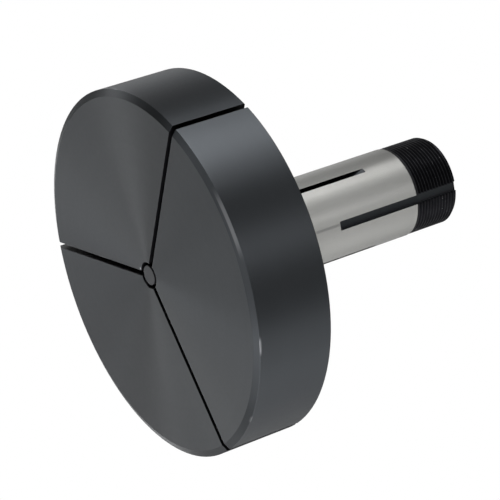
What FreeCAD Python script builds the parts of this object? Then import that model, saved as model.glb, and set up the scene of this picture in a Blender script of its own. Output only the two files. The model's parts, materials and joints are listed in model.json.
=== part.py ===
import FreeCAD, Part
import math
import os

import Sketcher

# Step collet for a lathe spindle, in millimetres.
# It stands on its threaded end: Z runs up the axis, and the broad face of the head is on top.
# The first slot lies along +X and the keyway along -X.

# Driving dimensions: name, value and what it measures.
SIZES = [
    ("head_diameter", 127.0, "outside of the head, 5 in"),
    ("head_thickness", 28.575, "face to back of the head, 1 1/8 in"),
    ("face_bevel_width", 2.4, "bevel round the face, measured along the radius"),
    ("face_bevel_depth", 1.05, "the same bevel, measured along the axis"),
    ("back_edge_break", 0.4, "broken edge at the back of the head"),
    ("corner_radius", 0.8, "fillet where the closing cone meets the head"),
    ("shank_length", 88.7, "threaded end to back of the head"),
    ("shank_diameter", 31.75, "ground shank, 1 1/4 in"),
    ("shank_end_chamfer", 0.4, "lead at the end of the ground shank"),
    ("cone_rise", 2.975, "how far the closing cone rises above the shank at the head"),
    ("cone_angle", 10.0, "degrees from the axis to the side of the closing cone"),
    ("thread_length", 17.0, "outside thread for the drawbar"),
    ("thread_drop", 0.1525, "ground shank to the crests of the outside thread, 1.238 in across"),
    ("thread_depth", 0.78, "crest to root of the outside thread, 20 to the inch"),
    ("thread_end_break", 0.15, "broken edge at the threaded end"),
    ("shank_wall", 2.45, "wall of the shank between its bore and its ground surface"),
    ("stop_thread_drop", 0.205, "bore to the roots of the inside thread, 1.041 in across"),
    ("stop_thread_length", 12.7, "inside thread for a work stop, 1/2 in"),
    ("stop_thread_chamfer", 0.4, "lead into the inside thread"),
    ("drill_half_angle", 59.0, "degrees from the axis to the side of the drill point"),
    ("pilot_length", 10.4, "pilot hole between the drill point and the plug's seat"),
    ("plug_diameter", 7.0, "plug in the middle of the face"),
    ("plug_length", 12.7, "plug from its seat to its face"),
    ("plug_ledge", 1.0, "how far the seat reaches in under the plug"),
    ("plug_clearance", 0.05, "gap all round the plug in its hole"),
    ("plug_recess", 0.1, "how far the plug lies below the face"),
    ("plug_edge_break", 0.2, "broken edges of the plug"),
    ("ring_width", 1.15, "open ring round the plug"),
    ("ring_depth", 3.2, "depth of that ring"),
    ("slot_width", 1.984, "saw cuts between the jaws, 5/64 in"),
    ("jaw_count", 3, "jaws, and the saw cuts between them"),
    ("slit_end_height", 32.1, "threaded end to the place where a saw cut runs out"),
    ("saw_diameter", 76.2, "slitting saw, 3 in"),
    ("saw_overcut", 0.6, "how far the saw reaches past the wall of the bore"),
    ("keyway_width", 3.25, "keyway, 0.128 in"),
    ("keyway_depth", 1.6, "keyway below the ground shank, 1/16 in"),
    ("keyway_length", 50.1, "threaded end to the closed end of the keyway"),
    ("keyway_corner_radius", 0.5, "corners of the keyway's closed end"),
    ("overrun", 1.0, "how far a cut runs on past the surface that it opens"),
]

# Positions worked out from those dimensions, as expressions.
SHANK_RADIUS = "(sizes.shank_diameter / 2)"
HEAD_RADIUS = "sizes.head_diameter / 2"
HEAD_BACK = "sizes.shank_length"
FACE = "(sizes.shank_length + sizes.head_thickness)"
CONE_RADIUS = f"({SHANK_RADIUS} + sizes.cone_rise)"
CONE_START = "sizes.shank_length - sizes.cone_rise / tan(sizes.cone_angle)"
THREAD_ROOT = f"({SHANK_RADIUS} - sizes.thread_drop - sizes.thread_depth)"
BORE_RADIUS = f"({SHANK_RADIUS} - sizes.shank_wall)"
STOP_THREAD_RADIUS = f"({BORE_RADIUS} - sizes.stop_thread_drop)"
PLUG_RADIUS = "sizes.plug_diameter / 2"
PLUG_HOLE_RADIUS = f"({PLUG_RADIUS} + sizes.plug_clearance)"
PLUG_SEAT = f"({FACE} - sizes.plug_recess - sizes.plug_length)"
RING_RADIUS = f"({PLUG_RADIUS} + sizes.ring_width)"
RING_FLOOR = f"{FACE} - sizes.ring_depth"
PILOT_RADIUS = f"({PLUG_RADIUS} - sizes.plug_ledge)"
DRILL_POINT_TOP = f"({PLUG_SEAT} - sizes.pilot_length)"
BORE_TOP = f"({DRILL_POINT_TOP} - ({BORE_RADIUS} - {PILOT_RADIUS}) / tan(sizes.drill_half_angle))"
ABOVE_FACE = f"{FACE} + sizes.overrun"
OUTSIDE_HEAD = f"{HEAD_RADIUS} + sizes.overrun"

# The saw cuts the slits of the shank from outside. Its rim passes just inside the bore,
# and where the cut ends the rim leaves a ramp that rises to the surface of the shank.
SAW_RADIUS = "(sizes.saw_diameter / 2)"
SAW_INNER_REACH = f"({BORE_RADIUS} - sizes.saw_overcut)"
SAW_DEPTH = f"({SHANK_RADIUS} - {SAW_INNER_REACH})"
SAW_CENTRE_HEIGHT = (
    f"sizes.slit_end_height + sqrt({SAW_RADIUS} ^ 2 - ({SAW_RADIUS} - {SAW_DEPTH}) ^ 2)"
)
SAW_OUTER_REACH = f"({SHANK_RADIUS} + sizes.overrun)"
SAW_OUTER_HEIGHT = (
    f"{SAW_CENTRE_HEIGHT}"
    f" - sqrt({SAW_RADIUS} ^ 2 - ({SAW_RADIUS} - {SAW_DEPTH} - sizes.overrun) ^ 2)"
)


# In every sketch, edge -1 is the horizontal axis, edge -2 is the upright one,
# and point 1 of edge -1 is the origin.
ZERO_LINE = {"X": -2, "Y": -1}
SKETCH_ORIGIN = (-1, 1)

UPRIGHT = FreeCAD.Vector(0, 1, 0)

FULL_TURN = 360


def add_sizes(doc):
    """The sheet that holds the driving dimensions."""
    sheet = doc.addObject("Spreadsheet::Sheet", "sizes")
    for row, (alias, value, meaning) in enumerate(SIZES, start=1):
        sheet.set(f"A{row}", alias)
        sheet.set(f"B{row}", str(value))
        sheet.setAlias(f"B{row}", alias)
        sheet.set(f"C{row}", meaning)
    doc.recompute()
    return sheet


def origin_feature(body, role):
    """One of the planes or axes that a body starts with."""
    return next(item for item in body.Origin.OriginFeatures if item.Role == role)


def add_sketch(body, name, plane):
    """An empty sketch on one of the body's own planes."""
    sketch = body.newObject("Sketcher::SketchObject", name)
    sketch.AttachmentSupport = (origin_feature(body, plane), [""])
    sketch.MapMode = "FlatFace"
    return sketch


def rim_arc(start, end, radius):
    """The short arc between two points that bulges to the left of the way from start to end."""
    chord = end - start
    middle = (start + end) / 2
    rise = math.sqrt(radius**2 - (chord.Length / 2) ** 2)
    to_centre = FreeCAD.Vector(chord.y, -chord.x, 0).normalize() * rise
    centre = middle + to_centre
    circle = Part.Circle(centre, FreeCAD.Vector(0, 0, 1), radius)
    first = circle.parameter(end)
    last = circle.parameter(start)
    return Part.ArcOfCircle(circle, first, last)


def pin_corner(sketch, edge, point, axis, expression):
    """Ties one coordinate of a corner to an expression."""
    if expression == "0":
        sketch.addConstraint(
            Sketcher.Constraint("PointOnObject", edge, point, ZERO_LINE[axis])
        )
        return
    value = sketch.evalExpression(expression)
    if value < 0:
        ends = (edge, point, *SKETCH_ORIGIN)
        expression = f"-({expression})"
    else:
        ends = (*SKETCH_ORIGIN, edge, point)
    constraint = Sketcher.Constraint("Distance" + axis, *ends, abs(value))
    index = sketch.addConstraint(constraint)
    sketch.setExpression(f"Constraints[{index}]", expression)


def draw_outline(sketch, corners, arcs=None):
    """Draws a closed outline. A corner is a pair of expressions, and arcs gives the radius of each
    round edge, by the number of the corner that it starts from. Every corner is held in place."""
    arcs = arcs or {}
    places = [FreeCAD.Vector(*(sketch.evalExpression(item) for item in pair)) for pair in corners]
    ends = []
    for number, start in enumerate(places):
        end = places[(number + 1) % len(places)]
        if number in arcs:
            edge = sketch.addGeometry(rim_arc(start, end, sketch.evalExpression(arcs[number])))
            ends.append((edge, 2, 1))
        else:
            edge = sketch.addGeometry(Part.LineSegment(start, end))
            ends.append((edge, 1, 2))
    for number, (edge, start_point, _) in enumerate(ends):
        before, _, before_end = ends[number - 1]
        sketch.addConstraint(
            Sketcher.Constraint("Coincident", before, before_end, edge, start_point)
        )
        pin_corner(sketch, edge, start_point, "X", corners[number][0])
        pin_corner(sketch, edge, start_point, "Y", corners[number][1])
    for number, radius in arcs.items():
        edge = ends[number][0]
        constraint = Sketcher.Constraint("Radius", edge, sketch.evalExpression(radius))
        index = sketch.addConstraint(constraint)
        sketch.setExpression(f"Constraints[{index}]", radius)
    return sketch


def turn(body, kind, name, corners):
    """Revolves an outline of radii and heights about the body's Z axis. It is turned about that
    axis to the second slot, so that the seams of the round faces lie there, clear of the keyway."""
    sketch = add_sketch(body, name + "_outline", "XZ_Plane")
    sketch.AttachmentOffset = FreeCAD.Placement(FreeCAD.Vector(), UPRIGHT, 0)
    sketch.setExpression("AttachmentOffset.Rotation.Angle", "360 / sizes.jaw_count")
    draw_outline(sketch, corners)
    feature = body.newObject("PartDesign::" + kind, name)
    feature.Profile = sketch
    feature.ReferenceAxis = (origin_feature(body, "Z_Axis"), [""])
    feature.Angle = FULL_TURN
    return feature


def round_head_corner(body):
    """Fillets the corner between the closing cone and the back of the head."""
    body.Document.recompute()
    blank = body.Tip
    radius = blank.evalExpression(CONE_RADIUS)
    height = blank.evalExpression(HEAD_BACK)
    corner = Part.Vertex(FreeCAD.Vector(radius, 0, height))
    names = [
        f"Edge{number}"
        for number, edge in enumerate(blank.Shape.Edges, start=1)
        if isinstance(edge.Curve, Part.Circle) and edge.distToShape(corner)[0] < 1e-6
    ]
    fillet = body.newObject("PartDesign::Fillet", "head_corner")
    fillet.Base = (blank, names)
    fillet.setExpression("Radius", "sizes.corner_radius")
    return fillet


def cut_slots(body):
    """One saw cut through the head and along the shank, then the same cut between the other jaws."""
    outline = [
        ("0", BORE_TOP),
        ("0", ABOVE_FACE),
        (OUTSIDE_HEAD, ABOVE_FACE),
        (OUTSIDE_HEAD, SAW_OUTER_HEIGHT),
        (SAW_OUTER_REACH, SAW_OUTER_HEIGHT),
        (SAW_INNER_REACH, SAW_CENTRE_HEIGHT),
        (SAW_INNER_REACH, BORE_TOP),
    ]
    sketch = draw_outline(add_sketch(body, "slot_outline", "XZ_Plane"), outline, {4: SAW_RADIUS})
    slot = body.newObject("PartDesign::Pocket", "slot")
    slot.Profile = sketch
    slot.SideType = "Symmetric"
    slot.setExpression("Length", "sizes.slot_width")
    slots = body.newObject("PartDesign::PolarPattern", "slots")
    slots.Originals = [slot]
    slots.Axis = (origin_feature(body, "Z_Axis"), [""])
    slots.Angle = FULL_TURN
    slots.setExpression("Occurrences", "sizes.jaw_count")
    body.Tip = slots
    return slot, slots


def cut_keyway(body):
    """The keyway runs in from the threaded end on the far side of the axis from the first slot.
    It is milled outwards from its flat floor, and its closed end has rounded corners."""
    side = "sizes.keyway_width / 2"
    corner = "sizes.keyway_corner_radius"
    outline = [
        ("-" + side, "-sizes.overrun"),
        ("-" + side, "sizes.keyway_length - " + corner),
        (f"-{side} + {corner}", "sizes.keyway_length"),
        (f"{side} - {corner}", "sizes.keyway_length"),
        (side, "sizes.keyway_length - " + corner),
        (side, "-sizes.overrun"),
    ]
    sketch = add_sketch(body, "keyway_outline", "YZ_Plane")
    sketch.setExpression("AttachmentOffset.Base.z", f"sizes.keyway_depth - {SHANK_RADIUS}")
    draw_outline(sketch, outline, {1: corner, 3: corner})
    keyway = body.newObject("PartDesign::Pocket", "keyway")
    keyway.Profile = sketch
    keyway.setExpression("Length", "sizes.keyway_depth + sizes.overrun")
    return keyway


def make_collet_body(doc):
    """Head and shank, turned from one piece of steel, then bored, slotted and keyed."""
    body = doc.addObject("PartDesign::Body", "collet_body")
    body.Label = "collet_body"
    turn(body, "Revolution", "blank", [
        ("0", "0"),
        (THREAD_ROOT + " - sizes.thread_end_break", "0"),
        (THREAD_ROOT, "sizes.thread_end_break"),
        (THREAD_ROOT, "sizes.thread_length"),
        (SHANK_RADIUS + " - sizes.shank_end_chamfer", "sizes.thread_length"),
        (SHANK_RADIUS, "sizes.thread_length + sizes.shank_end_chamfer"),
        (SHANK_RADIUS, CONE_START),
        (CONE_RADIUS, HEAD_BACK),
        (HEAD_RADIUS + " - sizes.back_edge_break", HEAD_BACK),
        (HEAD_RADIUS, HEAD_BACK + " + sizes.back_edge_break"),
        (HEAD_RADIUS, FACE + " - sizes.face_bevel_depth"),
        (HEAD_RADIUS + " - sizes.face_bevel_width", FACE),
        ("0", FACE),
    ])
    round_head_corner(body)
    bore = turn(body, "Groove", "bore", [
        ("0", "0"),
        (STOP_THREAD_RADIUS + " + sizes.stop_thread_chamfer", "0"),
        (STOP_THREAD_RADIUS, "sizes.stop_thread_chamfer"),
        (STOP_THREAD_RADIUS, "sizes.stop_thread_length"),
        (BORE_RADIUS, "sizes.stop_thread_length"),
        (BORE_RADIUS, BORE_TOP),
        (PILOT_RADIUS, DRILL_POINT_TOP),
        (PILOT_RADIUS, PLUG_SEAT),
        (PLUG_HOLE_RADIUS, PLUG_SEAT),
        (PLUG_HOLE_RADIUS, RING_FLOOR),
        (RING_RADIUS, RING_FLOOR),
        (RING_RADIUS, FACE),
        ("0", FACE),
    ])
    slot, slots = cut_slots(body)
    keyway = cut_keyway(body)
    return body, [bore, slot, slots, keyway]


def make_centre_plug(doc):
    """A turned plug, which stands on the step of its hole with its face just below the head's."""
    body = doc.addObject("PartDesign::Body", "centre_plug")
    body.Label = "centre_plug"
    turn(body, "Revolution", "plug", [
        ("0", "0"),
        (PLUG_RADIUS + " - sizes.plug_edge_break", "0"),
        (PLUG_RADIUS, "sizes.plug_edge_break"),
        (PLUG_RADIUS, "sizes.plug_length - sizes.plug_edge_break"),
        (PLUG_RADIUS + " - sizes.plug_edge_break", "sizes.plug_length"),
        ("0", "sizes.plug_length"),
    ])
    body.setExpression("Placement.Base.z", PLUG_SEAT)
    return body


def check_model(doc, bodies, cuts):
    """Stops with a message if anything failed to build, or if a cut took nothing away."""
    for item in doc.Objects:
        if "Invalid" in item.State or "Error" in item.State:
            raise RuntimeError(f"{item.Label} failed: {item.State}")
    for body in bodies:
        if body.Shape.isNull() or not body.Shape.isValid() or len(body.Shape.Solids) != 1:
            raise RuntimeError(f"{body.Label} isn't one valid solid")
    for cut in cuts:
        if cut.Shape.Volume >= cut.BaseFeature.Shape.Volume:
            raise RuntimeError(f"{cut.Label} took nothing away")


def main():
    doc = FreeCAD.newDocument("step_collet")
    add_sizes(doc)
    collet_body, cuts = make_collet_body(doc)
    centre_plug = make_centre_plug(doc)
    doc.recompute()
    bodies = [collet_body, centre_plug]
    check_model(doc, bodies, cuts)
    os.makedirs("parts", exist_ok=True)
    for body in bodies:
        body.Shape.exportStep(f"parts/{body.Label}.step")
        print(body.Label, "volume", round(body.Shape.Volume, 1), "box", body.Shape.BoundBox)


main()
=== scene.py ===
import json
import math
from types import SimpleNamespace

import bmesh
import bpy
from mathutils import Euler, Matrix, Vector


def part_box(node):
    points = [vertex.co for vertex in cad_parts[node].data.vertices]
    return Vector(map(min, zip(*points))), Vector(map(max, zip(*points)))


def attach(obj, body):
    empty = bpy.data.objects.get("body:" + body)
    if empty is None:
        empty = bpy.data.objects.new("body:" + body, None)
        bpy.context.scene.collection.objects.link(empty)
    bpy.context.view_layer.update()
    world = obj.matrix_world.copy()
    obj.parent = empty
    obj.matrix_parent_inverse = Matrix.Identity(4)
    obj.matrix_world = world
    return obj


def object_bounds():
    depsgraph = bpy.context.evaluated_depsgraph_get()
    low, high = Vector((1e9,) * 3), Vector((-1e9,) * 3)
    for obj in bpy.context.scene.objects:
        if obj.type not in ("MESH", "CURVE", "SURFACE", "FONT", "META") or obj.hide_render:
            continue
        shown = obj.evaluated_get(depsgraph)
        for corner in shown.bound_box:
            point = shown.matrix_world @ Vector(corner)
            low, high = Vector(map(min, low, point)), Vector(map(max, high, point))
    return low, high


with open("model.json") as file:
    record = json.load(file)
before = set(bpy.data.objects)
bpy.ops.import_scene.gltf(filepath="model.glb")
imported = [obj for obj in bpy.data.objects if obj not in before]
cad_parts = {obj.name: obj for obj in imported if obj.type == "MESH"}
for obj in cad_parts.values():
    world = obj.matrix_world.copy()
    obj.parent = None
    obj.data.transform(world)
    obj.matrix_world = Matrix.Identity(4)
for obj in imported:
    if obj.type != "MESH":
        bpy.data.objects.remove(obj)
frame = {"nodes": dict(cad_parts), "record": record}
cad_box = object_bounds()
mounts = {mount["name"]: mount for mount in frame["record"]["mounts"]}

MM = 0.001

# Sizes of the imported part, in millimetres, that its boxes and mounts give.
FACE = cad_box[1][2] / MM
HEAD_RADIUS = -cad_box[0][0] / MM
PLUG_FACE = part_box("centre_plug")[1][2] / MM
SHANK_RADIUS = mounts["closing_shank"]["dims"]["r_mm"]
STOP_THREAD_ROOT = mounts["stop_thread"]["dims"]["r_mm"]

# Its other sizes that the looks follow, in millimetres and degrees.
HEAD_THICKNESS = 28.575
HEAD_BACK = FACE - HEAD_THICKNESS
BACK_EDGE_BREAK = 0.4
BEVEL_WIDTH = 1.5
RING_RADIUS = 4.65
CONE_START = 71.828
CONE_SLOPE = math.tan(math.radians(10))
KEYWAY_AZIMUTH = 180
KEYWAY_HALF_WIDTH = 1.625
KEYWAY_LENGTH = 50.1
SAW_CUT_AZIMUTHS = (0, 120, 240)
SAW_CUT_HALF_WIDTH = 0.992
SLIT_END = 32.1
SLIT_RAMP = 14.0

# Radii, pitch and heights of the two threads. The lead is the chamfer at the start. The run-out rises to the
# collar, where the ridges have merged, and the gap is half of the width that the keyway takes. The stop
# thread's run-out would start at its end, so it has none.
THREAD_LENGTH = 17.0
THREAD_COLLAR_LENGTH = 0.7
THREAD_RUN_OUT = 0.5
STOP_THREAD_END = 12.7
DRAWBAR_THREAD = {
    "root": 14.9425,
    "crest": 15.7225,
    "pitch": 1.27,
    "start": 0.0,
    "end": THREAD_LENGTH,
    "lead": 0.9,
    "collar": THREAD_LENGTH - THREAD_COLLAR_LENGTH,
    "gap": KEYWAY_HALF_WIDTH,
}
STOP_THREAD = {
    "root": STOP_THREAD_ROOT,
    "crest": 12.65,
    "pitch": 25.4 / 24,
    "start": 0.4,
    "end": STOP_THREAD_END,
    "lead": 0.4,
    "collar": STOP_THREAD_END + THREAD_RUN_OUT,
    "gap": 0.0,
}

# The form of both threads: flanks of 30 degrees a side, and a flat crest of an eighth of the pitch.
FLANK_SLOPE = math.tan(math.radians(30))
CREST_SHARE = 1 / 8

# Steps round the axis, how far a sleeve reaches into the solid, and the merging distance in metres.
THREAD_STEPS = 150
THREAD_SLEEVE = 0.05
MERGE_DISTANCE = 1e-7

# Bare places on the bevel's outer edge, where painted highlights also go: azimuth, half of their length in
# degrees, height and strength.
RIM_WEAR_AND_HIGHLIGHTS = ((206, 8, 116.5, 0.42), (168.8, 2.3, 115.95, 0.8), (141, 1.2, 116.1, 0.4))
RIM_SPOT_HALF_HEIGHT = 0.3

# The painted highlight on the tip of one jaw, as x, y and radius.
JAW_TIP_HIGHLIGHT = (5.0, -1.6, 0.4)

# The darker streak ahead of the keyway: from and to in y, length and strength.
DARK_STREAK = (-1.1, -0.1, 10, 0.35)

# Colours of the bare metal's reflections.
OXIDE = (0.066, 0.071, 0.077)
PLUG_OXIDE = (0.046, 0.048, 0.053)
BARE_OXIDE_AND_HIGHLIGHT = (0.34, 0.345, 0.36)
BRIGHT = (0.79, 0.79, 0.76)
WORN_BRIGHT = (0.92, 0.92, 0.89)
# Black of painted shade in the saw cuts, the ring, the back edge, the plug's side and the slits' ramps.
SHADE_BLACK = (0.008, 0.008, 0.009)
# The threads' black is oxide with painted shade; the crests' grey is wear with a painted highlight, and the
# glint is painted.
THREAD_OXIDE_AND_SHADE = (0.012, 0.012, 0.014)
THREAD_CREST_WEAR_AND_SHEEN = (0.064, 0.065, 0.070)
THREAD_GLINT = (0.32, 0.32, 0.33)

# How much each colour varies over its surface, and how far painted shade darkens the slits' ramps.
OXIDE_SPREAD = 0.10
PLUG_SPREAD = 0.08
BRIGHT_SPREAD = 0.05
RAMP_SHADE = 0.6

# Lowest roughness of each finish, and what the noise adds to it.
OXIDE_ROUGHNESS = (0.38, 0.08)
GROUND_ROUGHNESS = (0.20, 0.08)
THREAD_ROUGHNESS = (0.38, 0.15)

# How far the highlights run out across the turning marks, which is a quarter of a turn from along them.
STEEL_ANISOTROPY = 0.85
PLUG_ANISOTROPY = 0.3
THREAD_ANISOTROPY = 0.4
QUARTER_TURN = 0.25

# Scales of the noise, in turns per mm for the turning marks and per metre for the rest.
MARK_SCALE = 3.2
BAND_SCALE = 0.35
CLOUD_SCALE = 45
PATCH_SCALE = 180
PATCHINESS_SCALE = 400
NICK_SCALE = 700
GRAIN_SCALE = 900

# Depth of the turning marks, and the radius and samples of the rounded edges, which only the light shows.
MARK_DEPTH = 0.003
EDGE_RADIUS = 0.15
EDGE_SAMPLES = 8

# How far the normal turns at a rounded edge, as 1 less the cosine: middle and width.
EDGE_TURN = (0.06, 0.10)

# Thresholds of noise above which an edge is worn, and a crest has a bare nick with a painted glint: middle
# and width.
WORN_PATCHES = (0.40, 0.25)
GLINT_NICKS = (0.73, 0.06)

# How far below a surface a point still counts as on it, and the width of a hard edge between finishes.
SKIN = 0.05
NARROW_SKIN = 0.02
HARD_EDGE = 0.02

# The sockets of a Mix node that it uses for colours.
MIX_SHARE = 0
MIX_FIRST = 6
MIX_SECOND = 7
MIX_RESULT = 2

# The camera of the photograph, from the fit to its outlines and slots. Place and near limit are in metres.
CAMERA_PLACE = (-0.68664, -0.24137, 0.48268)
CAMERA_TURN = (-30.3756, 55.7150, 164.2449)
LENS = 177.2
SENSOR = 36
NEAR_LIMIT = 0.01

# Soft boxes round the object: name, azimuth, elevation, width and height in metres, and watts.
STUDIO = (
    ("key", 262, 7, 0.84, 0.40, 20.5),
    ("key_side", 240, 7, 0.42, 0.40, 3.1),
    ("key_high", 255, 27, 0.76, 0.70, 6.8),
    ("left", 330, 7, 0.42, 0.40, 5.9),
    ("left_side", 315, 7, 0.42, 0.40, 1.8),
    ("front_low", 195, 7, 0.42, 0.40, 2.2),
    ("front_high", 195, 27, 0.76, 0.70, 5.1),
    ("back_low", 22, 7, 0.84, 0.40, 3.5),
    ("back_high", 30, 27, 1.50, 0.70, 2.7),
    ("right_low", 82, 7, 0.84, 0.40, 5.7),
    ("right_side", 112, 7, 0.84, 0.40, 2.9),
    ("right", 120, 27, 1.50, 0.70, 20.0),
    ("right_high", 120, 54, 0.78, 0.86, 7.2),
    ("top", 20, 84, 0.90, 0.90, 4.5),
)
STUDIO_DISTANCE = 1.6
STUDIO_AIM = Vector((0, 0, 0.09))

# Half of the floor's width in metres, and its grey in the metal's reflections.
FLOOR_HALF = 6.0
FLOOR_GREY = (0.3, 0.3, 0.3)


def math_node(tree, operation, *inputs):
    """A maths node whose inputs are numbers or sockets, and the socket of its result."""
    node = tree.nodes.new("ShaderNodeMath")
    node.operation = operation
    for socket, value in zip(node.inputs, inputs):
        if isinstance(value, (int, float)):
            socket.default_value = value
        else:
            tree.links.new(value, socket)
    return node.outputs[0]


def mix_colours(tree, share, first, second):
    """Blends two colours, each a tuple or a socket. The share is a socket."""
    node = tree.nodes.new("ShaderNodeMix")
    node.data_type = "RGBA"
    tree.links.new(share, node.inputs[MIX_SHARE])
    for number, colour in ((MIX_FIRST, first), (MIX_SECOND, second)):
        if isinstance(colour, tuple):
            node.inputs[number].default_value = (*colour, 1)
        else:
            tree.links.new(colour, node.inputs[number])
    return node.outputs[MIX_RESULT]


def mix_values(tree, share, first, second):
    """Blends two numbers or sockets."""
    spread = math_node(tree, "SUBTRACT", second, first)
    return math_node(tree, "MULTIPLY_ADD", share, spread, first)


def vary(tree, share, colour, spread):
    """A colour that runs from darker to lighter by a share of itself."""
    darker = tuple(part * (1 - spread) for part in colour)
    lighter = tuple(part * (1 + spread) for part in colour)
    return mix_colours(tree, share, darker, lighter)


def largest(tree, *values):
    """The largest of some values."""
    result = values[0]
    for value in values[1:]:
        result = math_node(tree, "MAXIMUM", result, value)
    return result


def noise(tree, place, scale, detail=2.0, roughness=0.5):
    """Noise from 0 to 1 that repeats in every run, at a scale in turns per unit of its place."""
    node = tree.nodes.new("ShaderNodeTexNoise")
    node.inputs["Scale"].default_value = scale
    node.inputs["Detail"].default_value = detail
    node.inputs["Roughness"].default_value = roughness
    tree.links.new(place, node.inputs["Vector"])
    return node.outputs["Fac"]


def step(tree, value, edge, width):
    """0 below the edge and 1 above it, over a given width. The edge may be a socket."""
    node = tree.nodes.new("ShaderNodeMapRange")
    node.interpolation_type = "SMOOTHSTEP"
    node.inputs["From Min"].default_value = -width / 2
    node.inputs["From Max"].default_value = width / 2
    tree.links.new(math_node(tree, "SUBTRACT", value, edge), node.inputs["Value"])
    return node.outputs["Result"]


def opposite(tree, mask):
    """1 where the mask is 0, and 0 where it is 1."""
    return math_node(tree, "SUBTRACT", 1, mask)


def both(tree, *masks):
    """The product of two or more masks."""
    product = masks[0]
    for mask in masks[1:]:
        product = math_node(tree, "MULTIPLY", product, mask)
    return product


def between(tree, value, low, high, width):
    """1 where the value lies between two edges, each as soft as the width."""
    above = step(tree, value, low, width)
    below = opposite(tree, step(tree, value, high, width))
    return both(tree, above, below)


def part_place(tree):
    """The point in the part's frame in metres, and its x, y, radius and height in millimetres."""
    point = tree.nodes.new("ShaderNodeTexCoord").outputs["Object"]
    split = tree.nodes.new("ShaderNodeSeparateXYZ")
    tree.links.new(point, split.inputs[0])
    x, y, height = [math_node(tree, "MULTIPLY", output, 1 / MM) for output in split.outputs]
    x_squared = math_node(tree, "MULTIPLY", x, x)
    squares = math_node(tree, "MULTIPLY_ADD", y, y, x_squared)
    radius = math_node(tree, "SQRT", squares)
    return SimpleNamespace(point=point, x=x, y=y, radius=radius, height=height)


def lathe_marks(tree, place, scale, detail=3.0):
    """Noise that is the same all the way round, so that it draws turning marks."""
    section = tree.nodes.new("ShaderNodeCombineXYZ")
    tree.links.new(place.radius, section.inputs["X"])
    tree.links.new(place.height, section.inputs["Y"])
    return noise(tree, section.outputs[0], scale, detail, roughness=0.7)


def rough(tree, share, finish):
    """The roughness of a finish, which grows from its lowest by a share of its spread."""
    lowest, spread = finish
    return math_node(tree, "MULTIPLY_ADD", share, spread, lowest)


def turned_shader(tree, anisotropy):
    """A metal shader whose highlights run out across the turning marks."""
    shader = tree.nodes.new("ShaderNodeBsdfPrincipled")
    shader.inputs["Metallic"].default_value = 1
    shader.inputs["Anisotropic"].default_value = anisotropy
    shader.inputs["Anisotropic Rotation"].default_value = QUARTER_TURN
    tangent = tree.nodes.new("ShaderNodeTangent")
    tangent.direction_type = "RADIAL"
    tangent.axis = "Z"
    tree.links.new(tangent.outputs[0], shader.inputs["Tangent"])
    output = tree.nodes.new("ShaderNodeOutputMaterial")
    tree.links.new(shader.outputs[0], output.inputs["Surface"])
    return shader


def rounded_normal(tree):
    """The normal with its edges rounded."""
    bevel = tree.nodes.new("ShaderNodeBevel")
    bevel.samples = EDGE_SAMPLES
    bevel.inputs["Radius"].default_value = EDGE_RADIUS * MM
    return bevel.outputs["Normal"]


def edge_mask(tree, normal):
    """1 where the rounded normal has turned away from the surface."""
    surface = tree.nodes.new("ShaderNodeNewGeometry")
    product = tree.nodes.new("ShaderNodeVectorMath")
    product.operation = "DOT_PRODUCT"
    tree.links.new(normal, product.inputs[0])
    tree.links.new(surface.outputs["Normal"], product.inputs[1])
    turned_away = math_node(tree, "SUBTRACT", 1, product.outputs["Value"])
    return step(tree, turned_away, *EDGE_TURN)


def add_marks(tree, shader, marks, normal):
    """The turning marks as bump, over a given normal."""
    bump = tree.nodes.new("ShaderNodeBump")
    bump.inputs["Strength"].default_value = 1
    bump.inputs["Distance"].default_value = MARK_DEPTH * MM
    tree.links.new(marks, bump.inputs["Height"])
    tree.links.new(normal, bump.inputs["Normal"])
    tree.links.new(bump.outputs[0], shader.inputs["Normal"])


def empty_material(name):
    """A new material with an empty node tree."""
    material = bpy.data.materials.new(name)
    material.use_nodes = True
    material.node_tree.nodes.clear()
    return material


def ground_zone(tree, place):
    """1 on the ground outside of the shank and cone, from the drawbar thread to the head."""
    end_width = 0.06
    rise = math_node(tree, "MAXIMUM", math_node(tree, "SUBTRACT", place.height, CONE_START), 0)
    surface = math_node(tree, "MULTIPLY_ADD", rise, CONE_SLOPE, SHANK_RADIUS - SKIN)
    outside = step(tree, place.radius, surface, HARD_EDGE)
    along = between(tree, place.height, THREAD_LENGTH + SKIN, HEAD_BACK - SKIN, end_width)
    return both(tree, outside, along)


def turned_place(tree, place, azimuth):
    """How far a point lies along an azimuth, and sideways from it."""
    turn = math.radians(azimuth)
    outwards = math_node(tree, "MULTIPLY", place.x, math.cos(turn))
    outwards = math_node(tree, "MULTIPLY_ADD", place.y, math.sin(turn), outwards)
    sideways = math_node(tree, "MULTIPLY", place.x, -math.sin(turn))
    sideways = math_node(tree, "MULTIPLY_ADD", place.y, math.cos(turn), sideways)
    return outwards, sideways


def saw_cut_distance(tree, place):
    """The distance from the middle plane of the nearest saw cut, each on its own side of the axis."""
    nearest = None
    for azimuth in SAW_CUT_AZIMUTHS:
        outwards, sideways = turned_place(tree, place, azimuth)
        behind = math_node(tree, "LESS_THAN", outwards, 0)
        away = math_node(tree, "MULTIPLY_ADD", behind, HEAD_RADIUS, math_node(tree, "ABSOLUTE", sideways))
        nearest = away if nearest is None else math_node(tree, "MINIMUM", nearest, away)
    return nearest


def slit_ramp(tree, place, sawn):
    """1 on the curved ramps in which the saw cuts end."""
    end_width = 0.1
    in_cut = math_node(tree, "LESS_THAN", sawn, SAW_CUT_HALF_WIDTH - NARROW_SKIN)
    return both(tree, in_cut, between(tree, place.height, SLIT_END, SLIT_END + SLIT_RAMP, end_width))


def saw_cut_wall(tree, sawn):
    """1 on the walls of the saw cuts, which get painted shade."""
    margin = 0.01
    return between(tree, sawn, SAW_CUT_HALF_WIDTH - NARROW_SKIN, SAW_CUT_HALF_WIDTH + margin, margin)


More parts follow.
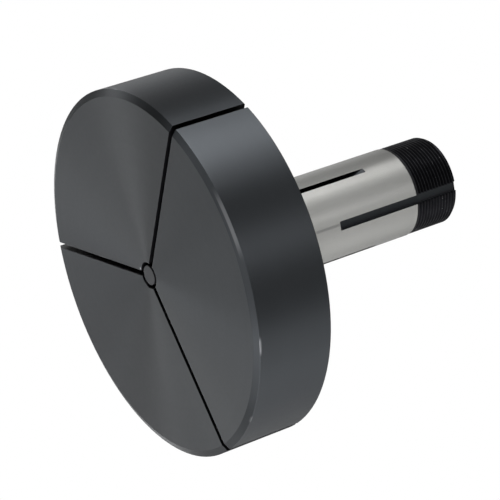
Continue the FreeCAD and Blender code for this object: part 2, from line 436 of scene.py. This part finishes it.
def ring_wall(tree, place):
    """1 inside the open ring round the plug, which gets painted shade."""
    margin = 0.01
    return math_node(tree, "LESS_THAN", place.radius, RING_RADIUS + margin)


def shaded_back_edge(tree, place):
    """1 on the broken edge at the back of the head, which gets a dark line of painted shade."""
    low = math_node(tree, "LESS_THAN", place.height, HEAD_BACK + BACK_EDGE_BREAK)
    outside = math_node(tree, "GREATER_THAN", place.radius, HEAD_RADIUS - BACK_EDGE_BREAK)
    return both(tree, low, outside)


def rim_wear_and_highlight(tree, place):
    """Where the rim is rubbed bare and where highlights are painted on it, near the outer edge of its bevel.
    """
    height_width = 0.2
    radius_width = 0.1
    azimuth = math_node(tree, "ARCTAN2", place.y, place.x)
    degrees = math_node(tree, "MULTIPLY", azimuth, math.degrees(1))
    negative = math_node(tree, "LESS_THAN", azimuth, 0)
    degrees = math_node(tree, "MULTIPLY_ADD", negative, 360, degrees)
    worn = 0.0
    for middle, half, level, strength in RIM_WEAR_AND_HIGHLIGHTS:
        along = between(tree, degrees, middle - half, middle + half, half)
        low = level - RIM_SPOT_HALF_HEIGHT
        high = level + RIM_SPOT_HALF_HEIGHT
        spot = both(tree, along, between(tree, place.height, low, high, height_width))
        worn = math_node(tree, "MULTIPLY_ADD", spot, strength, worn)
    return both(tree, worn, step(tree, place.radius, HEAD_RADIUS - BEVEL_WIDTH, radius_width))


def painted_tip_highlight(tree, place):
    """A painted highlight on the tip of one jaw, beside the plug."""
    spot_width = 0.3
    height_width = 0.04
    x, y, radius = JAW_TIP_HIGHLIGHT
    along = math_node(tree, "SUBTRACT", place.x, x)
    sideways = math_node(tree, "SUBTRACT", place.y, y)
    squares = math_node(tree, "MULTIPLY_ADD", sideways, sideways, math_node(tree, "POWER", along, 2))
    distance = math_node(tree, "SQRT", squares)
    near = opposite(tree, step(tree, distance, radius, spot_width))
    return both(tree, near, step(tree, place.height, FACE - SKIN, height_width))


def dark_streak(tree, place):
    """A faint darker streak on the shank ahead of the keyway."""
    side_width = 0.5
    end_width = 1.5
    low, high, length, strength = DARK_STREAK
    beside = between(tree, place.y, low, high, side_width)
    along = between(tree, place.height, KEYWAY_LENGTH, KEYWAY_LENGTH + length, end_width)
    return math_node(tree, "MULTIPLY", both(tree, beside, along), strength)


def oxide_colour(tree, place, ramp, sawn):
    """Blackened steel, bare where the rim is worn, with painted highlights on the rim and a jaw's tip, and
    painted shade in the cuts and on their ramps, in the ring and at the back edge.
    """
    bands = lathe_marks(tree, place, BAND_SCALE, detail=2)
    cloud = noise(tree, place.point, CLOUD_SCALE, detail=3)
    shade = mix_values(tree, 0.5, cloud, bands)
    # Painted highlights on the rim and the jaw's tip, together with the rim's wear.
    bare = largest(tree, rim_wear_and_highlight(tree, place), painted_tip_highlight(tree, place))
    colour = mix_colours(tree, bare, vary(tree, shade, OXIDE, OXIDE_SPREAD), BARE_OXIDE_AND_HIGHLIGHT)
    # Painted shade on the slits' ramps.
    colour = mix_colours(tree, math_node(tree, "MULTIPLY", ramp, RAMP_SHADE), colour, SHADE_BLACK)
    # Painted shade in the saw cuts, the ring and at the back edge.
    painted_shade = largest(tree, saw_cut_wall(tree, sawn), ring_wall(tree, place), shaded_back_edge(tree, place))
    return mix_colours(tree, painted_shade, colour, SHADE_BLACK)


def ground_colour(tree, place, marks, worn):
    """Ground steel, with a darker streak and worn edges."""
    colour = mix_colours(tree, dark_streak(tree, place), vary(tree, marks, BRIGHT, BRIGHT_SPREAD), OXIDE)
    return mix_colours(tree, worn, colour, WORN_BRIGHT)


def steel_material():
    """Blackened turned steel, ground bright on the outside of the shank."""
    material = empty_material("blackened_steel")
    tree = material.node_tree
    place = part_place(tree)
    shader = turned_shader(tree, STEEL_ANISOTROPY)
    normal = rounded_normal(tree)
    marks = lathe_marks(tree, place, MARK_SCALE)
    sawn = saw_cut_distance(tree, place)
    ramp = slit_ramp(tree, place, sawn)
    ground = both(tree, ground_zone(tree, place), opposite(tree, ramp))
    patches = noise(tree, place.point, PATCH_SCALE, detail=3)
    worn = both(tree, edge_mask(tree, normal), ground, step(tree, patches, *WORN_PATCHES))
    oxide = oxide_colour(tree, place, ramp, sawn)
    bright = ground_colour(tree, place, marks, worn)
    tree.links.new(mix_colours(tree, ground, oxide, bright), shader.inputs["Base Color"])
    oxide_rough = rough(tree, noise(tree, place.point, GRAIN_SCALE), OXIDE_ROUGHNESS)
    ground_rough = rough(tree, marks, GROUND_ROUGHNESS)
    tree.links.new(mix_values(tree, ground, oxide_rough, ground_rough), shader.inputs["Roughness"])
    add_marks(tree, shader, marks, normal)
    return material


def plug_material():
    """The plug's end is faced and blackened as the head is, with rounder highlights, and painted shade on
    its side.
    """
    material = empty_material("plug_steel")
    tree = material.node_tree
    place = part_place(tree)
    shader = turned_shader(tree, PLUG_ANISOTROPY)
    marks = lathe_marks(tree, place, MARK_SCALE)
    side = math_node(tree, "LESS_THAN", place.height, PLUG_FACE - SKIN)
    # Painted shade on the plug's side, down in the ring.
    colour = mix_colours(tree, side, vary(tree, marks, PLUG_OXIDE, PLUG_SPREAD), SHADE_BLACK)
    tree.links.new(colour, shader.inputs["Base Color"])
    grain = noise(tree, place.point, GRAIN_SCALE)
    tree.links.new(rough(tree, grain, OXIDE_ROUGHNESS), shader.inputs["Roughness"])
    add_marks(tree, shader, marks, rounded_normal(tree))
    return material


def thread_material():
    """The threads are the blackest part: oxide with painted shade in the grooves, crests lightened by wear
    and a painted highlight, and a few bare nicks with painted glints.
    """
    crest_depth = 0.06
    material = empty_material("thread_steel")
    tree = material.node_tree
    place = part_place(tree)
    shader = turned_shader(tree, THREAD_ANISOTROPY)
    crest = step(tree, place.radius, DRAWBAR_THREAD["crest"] - crest_depth, crest_depth)
    patchiness = noise(tree, place.point, PATCHINESS_SCALE, detail=3)
    # Painted shade darkens the threads, and painted highlight lightens the crests along with their wear.
    thread = mix_colours(tree, both(tree, crest, patchiness), THREAD_OXIDE_AND_SHADE, THREAD_CREST_WEAR_AND_SHEEN)
    # Bare nicks on the crests, which also carry painted glints.
    nicks = both(tree, crest, step(tree, noise(tree, place.point, NICK_SCALE, detail=1), *GLINT_NICKS))
    tree.links.new(mix_colours(tree, nicks, thread, THREAD_GLINT), shader.inputs["Base Color"])
    tree.links.new(rough(tree, patchiness, THREAD_ROUGHNESS), shader.inputs["Roughness"])
    return material


def thread_share(height, turns, form):
    """How much of the thread's depth stands at a height, from 0 at its root to 1 at its crest."""
    depth = abs(form["crest"] - form["root"])
    across = abs((height / form["pitch"] - turns + 0.5) % 1 - 0.5) * form["pitch"]
    ridge = 1 - (across - CREST_SHARE * form["pitch"] / 2) / (FLANK_SLOPE * depth)
    collar = 1 - (form["collar"] - height) / THREAD_RUN_OUT
    lead = 1 - (form["start"] + form["lead"] - height) / depth
    return min(max(ridge, collar, 0), max(lead, 0), 1)


def thread_heights(turns, form):
    """The heights at which the thread's outline bends, at one place round the axis."""
    crest_half = CREST_SHARE * form["pitch"] / 2
    root_half = crest_half + FLANK_SLOPE * abs(form["crest"] - form["root"])
    first = math.floor(form["start"] / form["pitch"]) - 1
    last = math.ceil(form["end"] / form["pitch"])
    heights = [form["start"] + form["lead"], form["collar"], form["collar"] - THREAD_RUN_OUT]
    for number in range(first, last + 1):
        middle = (number + turns) * form["pitch"]
        heights += [middle - root_half, middle - crest_half, middle + crest_half, middle + root_half]
    return sorted(min(max(height, form["start"]), form["end"]) for height in heights)


def thread_outline(turns, form):
    """Heights and radii round the section of a thread's sleeve, whose back lies inside the solid."""
    rise = form["crest"] - form["root"]
    back = form["root"] - math.copysign(THREAD_SLEEVE, rise)
    outline = [
        (height, form["root"] + rise * thread_share(height, turns, form))
        for height in thread_heights(turns, form)
    ]
    outline += [(form["end"], back), (form["start"], back)]
    if rise < 0:
        outline.reverse()
    return outline


def thread_piece(name, form):
    """A closed sleeve with the thread on it, which stops at both sides of the keyway, if it meets one."""
    mesh = bmesh.new()
    columns = []
    for column in range(THREAD_STEPS + 1):
        share = column / THREAD_STEPS
        points = []
        for height, radius in thread_outline(share, form):
            half_gap = math.asin(form["gap"] / radius)
            angle = math.radians(KEYWAY_AZIMUTH) + half_gap + share * (2 * math.pi - 2 * half_gap)
            place = (radius * math.cos(angle) * MM, radius * math.sin(angle) * MM, height * MM)
            points.append(mesh.verts.new(place))
        columns.append(points)
    for here, there in zip(columns, columns[1:]):
        for row in range(len(here)):
            mesh.faces.new((here[row - 1], there[row - 1], there[row], here[row]))
    if form["gap"]:
        mesh.faces.new(columns[0])
        mesh.faces.new(columns[-1][::-1])
    bmesh.ops.remove_doubles(mesh, verts=mesh.verts, dist=MERGE_DISTANCE)
    data = bpy.data.meshes.new(name)
    mesh.to_mesh(data)
    mesh.free()
    piece = bpy.data.objects.new(name, data)
    bpy.context.scene.collection.objects.link(piece)
    return piece


def add_threads(material):
    """The drawbar thread outside and the stop's thread inside, as ridges on the plain cylinders."""
    for name, form in (("drawbar_thread", DRAWBAR_THREAD), ("stop_thread", STOP_THREAD)):
        piece = thread_piece(name, form)
        piece.data.materials.append(material)
        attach(piece, "root")


def finish_cad_nodes():
    """Gives each carried-over node its own material."""
    for node, material in (("collet_body", steel_material()), ("centre_plug", plug_material())):
        for slot in frame["nodes"][node].material_slots:
            slot.material = material


def floor_material():
    """White to the camera, and grey and dimmer in the metal's reflections."""
    material = empty_material("pale_floor")
    tree = material.node_tree
    seen = tree.nodes.new("ShaderNodeEmission")
    seen.inputs["Color"].default_value = (1, 1, 1, 1)
    seen.inputs["Strength"].default_value = 1.0
    lit = tree.nodes.new("ShaderNodeBsdfDiffuse")
    lit.inputs["Color"].default_value = (*FLOOR_GREY, 1)
    path = tree.nodes.new("ShaderNodeLightPath")
    mix = tree.nodes.new("ShaderNodeMixShader")
    output = tree.nodes.new("ShaderNodeOutputMaterial")
    tree.links.new(path.outputs["Is Camera Ray"], mix.inputs[0])
    tree.links.new(lit.outputs[0], mix.inputs[1])
    tree.links.new(seen.outputs[0], mix.inputs[2])
    tree.links.new(mix.outputs[0], output.inputs["Surface"])
    return material


def add_floor():
    """A plain pale floor, level with the threaded end on which the collet stands."""
    mesh = bpy.data.meshes.new("floor")
    corners = [(-1, -1), (1, -1), (1, 1), (-1, 1)]
    mesh.from_pydata([(x * FLOOR_HALF, y * FLOOR_HALF, 0) for x, y in corners], [], [(0, 1, 2, 3)])
    mesh.materials.append(floor_material())
    floor = bpy.data.objects.new("floor", mesh)
    bpy.context.scene.collection.objects.link(floor)


def add_world():
    """The room round the studio is dark, and colours are kept as they are rendered."""
    world = bpy.data.worlds.new("studio")
    world.use_nodes = True
    background = world.node_tree.nodes["Background"]
    background.inputs["Color"].default_value = (1, 1, 1, 1)
    background.inputs["Strength"].default_value = 0.0
    bpy.context.scene.world = world
    bpy.context.scene.view_settings.view_transform = "Standard"


def add_softbox(name, azimuth, elevation, width, height, power):
    """A soft box that looks at the object from an azimuth and elevation in degrees."""
    light = bpy.data.lights.new(name, "AREA")
    light.shape = "RECTANGLE"
    light.size = width
    light.size_y = height
    light.energy = power
    lamp = bpy.data.objects.new(name, light)
    turn = math.radians(azimuth)
    tilt = math.radians(elevation)
    level = math.cos(tilt)
    direction = Vector((math.cos(turn) * level, math.sin(turn) * level, math.sin(tilt)))
    lamp.location = STUDIO_AIM + direction * STUDIO_DISTANCE
    lamp.rotation_euler = direction.to_track_quat("Z", "Y").to_euler()
    bpy.context.scene.collection.objects.link(lamp)


def add_camera():
    """The photograph's view."""
    data = bpy.data.cameras.new("camera")
    data.sensor_width = SENSOR
    data.lens = LENS
    data.clip_start = NEAR_LIMIT
    camera = bpy.data.objects.new("camera", data)
    camera.location = CAMERA_PLACE
    camera.rotation_euler = Euler([math.radians(angle) for angle in CAMERA_TURN], "XYZ")
    bpy.context.scene.collection.objects.link(camera)
    bpy.context.scene.camera = camera


finish_cad_nodes()
add_threads(thread_material())
add_floor()
add_world()
for softbox in STUDIO:
    add_softbox(*softbox)
add_camera()
